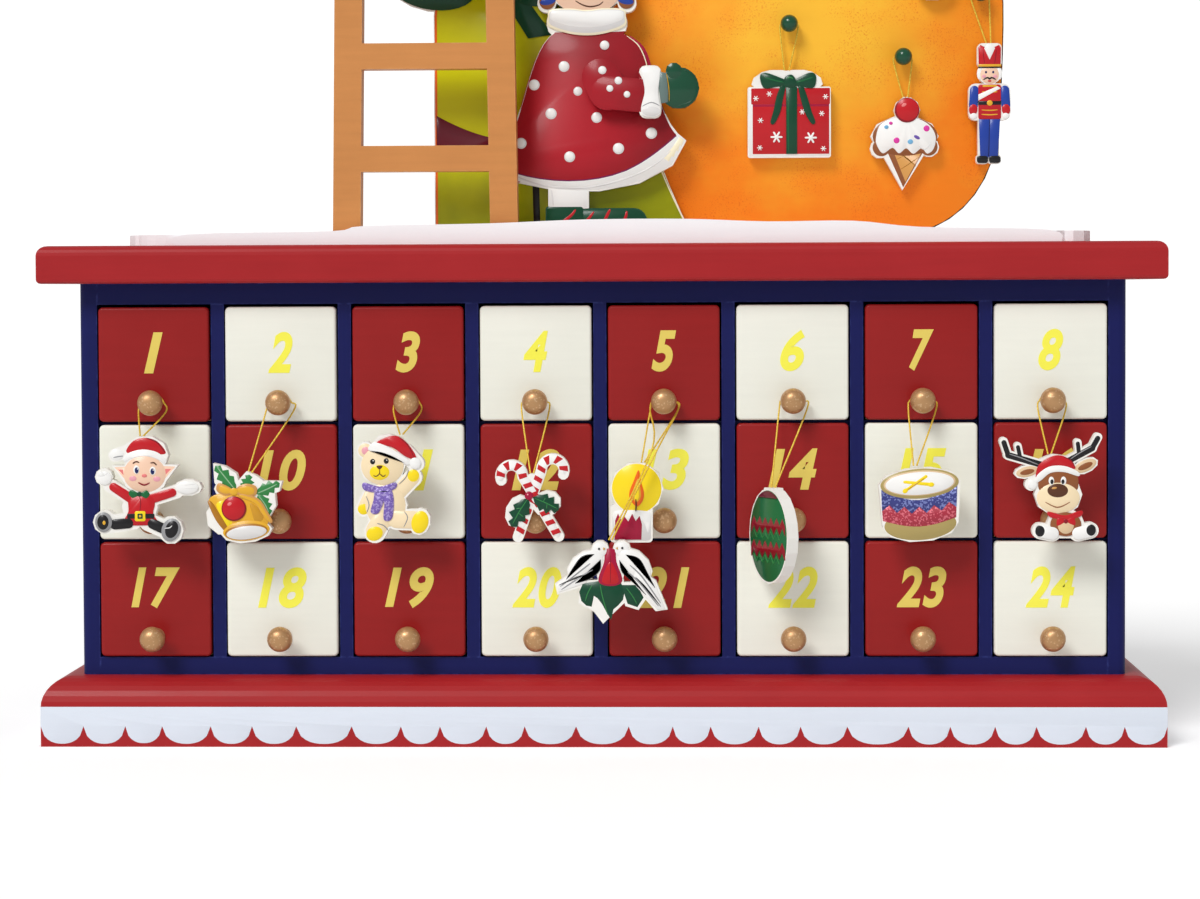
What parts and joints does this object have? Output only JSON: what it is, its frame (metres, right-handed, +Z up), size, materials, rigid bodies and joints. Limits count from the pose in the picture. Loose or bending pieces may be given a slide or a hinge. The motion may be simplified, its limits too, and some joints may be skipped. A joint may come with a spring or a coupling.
{
  "type": "advent calendar",
  "caption": "Wooden advent calendar: a chest of numbered knobbed drawers between moulded boards, hung with flat ornaments, with a ladder, figure and toy sacks on top.",
  "frame": {"origin": "middle of the base board's underside, on the surface the calendar stands on", "axes": "+X to the right seen from the front, +Y to the back, +Z up"},
  "size_m": [0.3998, 0.109, 0.3526],
  "materials": {
    "red_paint": "satin paint",
    "cream_paint": "satin paint",
    "navy_paint": "satin paint",
    "snow_paint": "satin paint",
    "ladder_paint": "satin paint",
    "dress_paint": "gloss paint",
    "lime_paint": "gloss paint",
    "orange_paint": "satin paint",
    "ornament_paint": "painted plywood",
    "gold_thread": "metallic thread"
  },
  "bodies": {
    "case": {"base_board": "red_paint", "top_board": "red_paint", "case_side_left": "navy_paint", "case_side_right": "navy_paint", "case_bottom": "navy_paint", "case_top": "navy_paint", "back_panel": "navy_paint", "divider_grid": "navy_paint", "snow": "snow_paint", "ladder": "ladder_paint", "figure": "dress_paint", "figure_arm": "dress_paint", "sack_lime": "lime_paint", "sack_orange": "orange_paint"},
    "drawer_01": {"drawer_01": "red_paint", "thread_elf": "gold_thread"},
    "drawer_02": {"drawer_02": "cream_paint", "thread_bells": "gold_thread"},
    "drawer_03": {"drawer_03": "red_paint", "thread_bear": "gold_thread"},
    "drawer_04": {"drawer_04": "cream_paint", "thread_canes": "gold_thread"},
    "drawer_05": {"drawer_05": "red_paint", "thread_candle": "gold_thread"},
    "drawer_06": {"drawer_06": "cream_paint"},
    "drawer_07": {"drawer_07": "red_paint", "thread_drum": "gold_thread"},
    "drawer_08": {"drawer_08": "cream_paint", "thread_reindeer": "gold_thread"},
    "drawer_09": {"drawer_09": "cream_paint"},
    "drawer_10": {"drawer_10": "red_paint"},
    "drawer_11": {"drawer_11": "cream_paint"},
    "drawer_12": {"drawer_12": "red_paint"},
    "drawer_13": {"drawer_13": "cream_paint"},
    "drawer_14": {"drawer_14": "red_paint"},
    "drawer_15": {"drawer_15": "cream_paint"},
    "drawer_16": {"drawer_16": "red_paint"},
    "drawer_17": {"drawer_17": "red_paint"},
    "drawer_18": {"drawer_18": "cream_paint"},
    "drawer_19": {"drawer_19": "red_paint"},
    "drawer_20": {"drawer_20": "cream_paint"},
    "drawer_21": {"drawer_21": "red_paint"},
    "drawer_22": {"drawer_22": "cream_paint"},
    "drawer_23": {"drawer_23": "red_paint"},
    "drawer_24": {"drawer_24": "cream_paint"},
    "elf": {"ornament_elf": "ornament_paint"},
    "bells": {"ornament_bells": "ornament_paint"},
    "bear": {"ornament_bear": "ornament_paint"},
    "canes": {"ornament_canes": "ornament_paint"},
    "candle": {"ornament_candle": "ornament_paint"},
    "drum": {"ornament_drum": "ornament_paint"},
    "reindeer": {"ornament_reindeer": "ornament_paint"},
    "doves_thread": {"thread_doves": "gold_thread"},
    "doves": {"ornament_doves": "ornament_paint"},
    "bauble_thread": {"thread_bauble": "gold_thread"},
    "bauble": {"ornament_bauble": "ornament_paint"},
    "gift": {"ornament_gift": "ornament_paint"},
    "ice_cream": {"ornament_ice_cream": "ornament_paint"},
    "soldier": {"ornament_soldier": "ornament_paint"},
    "snowman": {"ornament_snowman": "ornament_paint"}
  },
  "joints": [
    {"name": "drawer_01_slide", "type": "slide", "parent": "case", "child": "drawer_01", "axis": [0, -1, 0], "range_m": [0, 0.036]},
    {"name": "drawer_02_slide", "type": "slide", "parent": "case", "child": "drawer_02", "axis": [0, -1, 0], "range_m": [0, 0.036]},
    {"name": "drawer_03_slide", "type": "slide", "parent": "case", "child": "drawer_03", "axis": [0, -1, 0], "range_m": [0, 0.036]},
    {"name": "drawer_04_slide", "type": "slide", "parent": "case", "child": "drawer_04", "axis": [0, -1, 0], "range_m": [0, 0.036]},
    {"name": "drawer_05_slide", "type": "slide", "parent": "case", "child": "drawer_05", "axis": [0, -1, 0], "range_m": [0, 0.036]},
    {"name": "drawer_06_slide", "type": "slide", "parent": "case", "child": "drawer_06", "axis": [0, -1, 0], "range_m": [0, 0.036]},
    {"name": "drawer_07_slide", "type": "slide", "parent": "case", "child": "drawer_07", "axis": [0, -1, 0], "range_m": [0, 0.036]},
    {"name": "drawer_08_slide", "type": "slide", "parent": "case", "child": "drawer_08", "axis": [0, -1, 0], "range_m": [0, 0.036]},
    {"name": "drawer_09_slide", "type": "slide", "parent": "case", "child": "drawer_09", "axis": [0, -1, 0], "range_m": [0, 0.036]},
    {"name": "drawer_10_slide", "type": "slide", "parent": "case", "child": "drawer_10", "axis": [0, -1, 0], "range_m": [0, 0.036]},
    {"name": "drawer_11_slide", "type": "slide", "parent": "case", "child": "drawer_11", "axis": [0, -1, 0], "range_m": [0, 0.036]},
    {"name": "drawer_12_slide", "type": "slide", "parent": "case", "child": "drawer_12", "axis": [0, -1, 0], "range_m": [0, 0.036]},
    {"name": "drawer_13_slide", "type": "slide", "parent": "case", "child": "drawer_13", "axis": [0, -1, 0], "range_m": [0, 0.036]},
    {"name": "drawer_14_slide", "type": "slide", "parent": "case", "child": "drawer_14", "axis": [0, -1, 0], "range_m": [0, 0.036]},
    {"name": "drawer_15_slide", "type": "slide", "parent": "case", "child": "drawer_15", "axis": [0, -1, 0], "range_m": [0, 0.036]},
    {"name": "drawer_16_slide", "type": "slide", "parent": "case", "child": "drawer_16", "axis": [0, -1, 0], "range_m": [0, 0.036]},
    {"name": "drawer_17_slide", "type": "slide", "parent": "case", "child": "drawer_17", "axis": [0, -1, 0], "range_m": [0, 0.036]},
    {"name": "drawer_18_slide", "type": "slide", "parent": "case", "child": "drawer_18", "axis": [0, -1, 0], "range_m": [0, 0.036]},
    {"name": "drawer_19_slide", "type": "slide", "parent": "case", "child": "drawer_19", "axis": [0, -1, 0], "range_m": [0, 0.036]},
    {"name": "drawer_20_slide", "type": "slide", "parent": "case", "child": "drawer_20", "axis": [0, -1, 0], "range_m": [0, 0.036]},
    {"name": "drawer_21_slide", "type": "slide", "parent": "case", "child": "drawer_21", "axis": [0, -1, 0], "range_m": [0, 0.036]},
    {"name": "drawer_22_slide", "type": "slide", "parent": "case", "child": "drawer_22", "axis": [0, -1, 0], "range_m": [0, 0.036]},
    {"name": "drawer_23_slide", "type": "slide", "parent": "case", "child": "drawer_23", "axis": [0, -1, 0], "range_m": [0, 0.036]},
    {"name": "drawer_24_slide", "type": "slide", "parent": "case", "child": "drawer_24", "axis": [0, -1, 0], "range_m": [0, 0.036]},
    {"name": "elf_swing", "type": "hinge", "parent": "drawer_01", "child": "elf", "pos_m": [-0.15995, -0.03955, 0.1226], "axis": [-1, 0, 0], "range_deg": [0, 72], "deforming": ["thread_elf"]},
    {"name": "bells_swing", "type": "hinge", "parent": "drawer_02", "child": "bells", "pos_m": [-0.11425, -0.03955, 0.1226], "axis": [-1, 0, 0], "range_deg": [0, 72], "deforming": ["thread_bells"]},
    {"name": "bear_swing", "type": "hinge", "parent": "drawer_03", "child": "bear", "pos_m": [-0.06855, -0.03955, 0.1226], "axis": [-1, 0, 0], "range_deg": [0, 72], "deforming": ["thread_bear"]},
    {"name": "canes_swing", "type": "hinge", "parent": "drawer_04", "child": "canes", "pos_m": [-0.02285, -0.03955, 0.1226], "axis": [-1, 0, 0], "range_deg": [0, 72], "deforming": ["thread_canes"]},
    {"name": "candle_swing", "type": "hinge", "parent": "drawer_05", "child": "candle", "pos_m": [0.02285, -0.03955, 0.1226], "axis": [-1, 0, 0], "range_deg": [0, 72], "deforming": ["thread_candle"]},
    {"name": "drum_swing", "type": "hinge", "parent": "drawer_07", "child": "drum", "pos_m": [0.11425, -0.03955, 0.1226], "axis": [-1, 0, 0], "range_deg": [0, 72], "deforming": ["thread_drum"]},
    {"name": "reindeer_swing", "type": "hinge", "parent": "drawer_08", "child": "reindeer", "pos_m": [0.15995, -0.03955, 0.1226], "axis": [-1, 0, 0], "range_deg": [0, 72], "deforming": ["thread_reindeer"]},
    {"name": "doves_thread_swing", "type": "hinge", "parent": "candle", "child": "doves_thread", "pos_m": [0.02285, -0.03955, 0.1226], "axis": [-1, 0, 0], "range_deg": [0, 22], "deforming": ["thread_doves"]},
    {"name": "doves_swing", "type": "hinge", "parent": "doves_thread", "child": "doves", "pos_m": [0.02285, -0.03955, 0.1226], "axis": [-1, 0, 0], "range_deg": [0, 22], "deforming": ["thread_doves"]},
    {"name": "bauble_thread_swing", "type": "hinge", "parent": "drawer_06", "child": "bauble_thread", "pos_m": [0.06855, -0.03955, 0.1226], "axis": [-1, 0, 0], "range_deg": [0, 40], "deforming": ["thread_bauble"]},
    {"name": "bauble_swing", "type": "hinge", "parent": "bauble_thread", "child": "bauble", "pos_m": [0.06855, -0.03955, 0.1226], "axis": [-1, 0, 0], "range_deg": [0, 90], "deforming": ["thread_bauble"]},
    {"name": "gift_sway", "type": "hinge", "parent": "case", "child": "gift", "pos_m": [0.0686, -0.0018, 0.2589], "axis": [0, 1, 0], "range_deg": [-12, 12]},
    {"name": "ice_cream_sway", "type": "hinge", "parent": "case", "child": "ice_cream", "pos_m": [0.1101, -0.0018, 0.2466], "axis": [0, 1, 0], "range_deg": [-10, 10]},
    {"name": "soldier_sway", "type": "hinge", "parent": "case", "child": "soldier", "pos_m": [0.1382, -0.0018, 0.2696], "axis": [0, 1, 0], "range_deg": [-8, 8]},
    {"name": "snowman_sway", "type": "hinge", "parent": "case", "child": "snowman", "pos_m": [0.121, -0.0018, 0.3046], "axis": [0, 1, 0], "range_deg": [-10, 10]}
  ],
  "couplings": [
    {"joint": "elf_swing", "follows": "drawer_09_slide", "rad_per_m": 34.906},
    {"joint": "bells_swing", "follows": "drawer_10_slide", "rad_per_m": 34.906},
    {"joint": "bear_swing", "follows": "drawer_11_slide", "rad_per_m": 34.906},
    {"joint": "canes_swing", "follows": "drawer_12_slide", "rad_per_m": 34.906},
    {"joint": "candle_swing", "follows": "drawer_13_slide", "rad_per_m": 34.906},
    {"joint": "drum_swing", "follows": "drawer_15_slide", "rad_per_m": 34.906},
    {"joint": "reindeer_swing", "follows": "drawer_16_slide", "rad_per_m": 34.906},
    {"joint": "doves_thread_swing", "follows": "drawer_20_slide", "rad_per_m": 10.665},
    {"joint": "doves_swing", "follows": "drawer_21_slide", "rad_per_m": 10.665},
    {"joint": "bauble_thread_swing", "follows": "drawer_22_slide", "rad_per_m": 19.392},
    {"joint": "bauble_swing", "follows": "drawer_14_slide", "rad_per_m": 43.633}
  ]
}
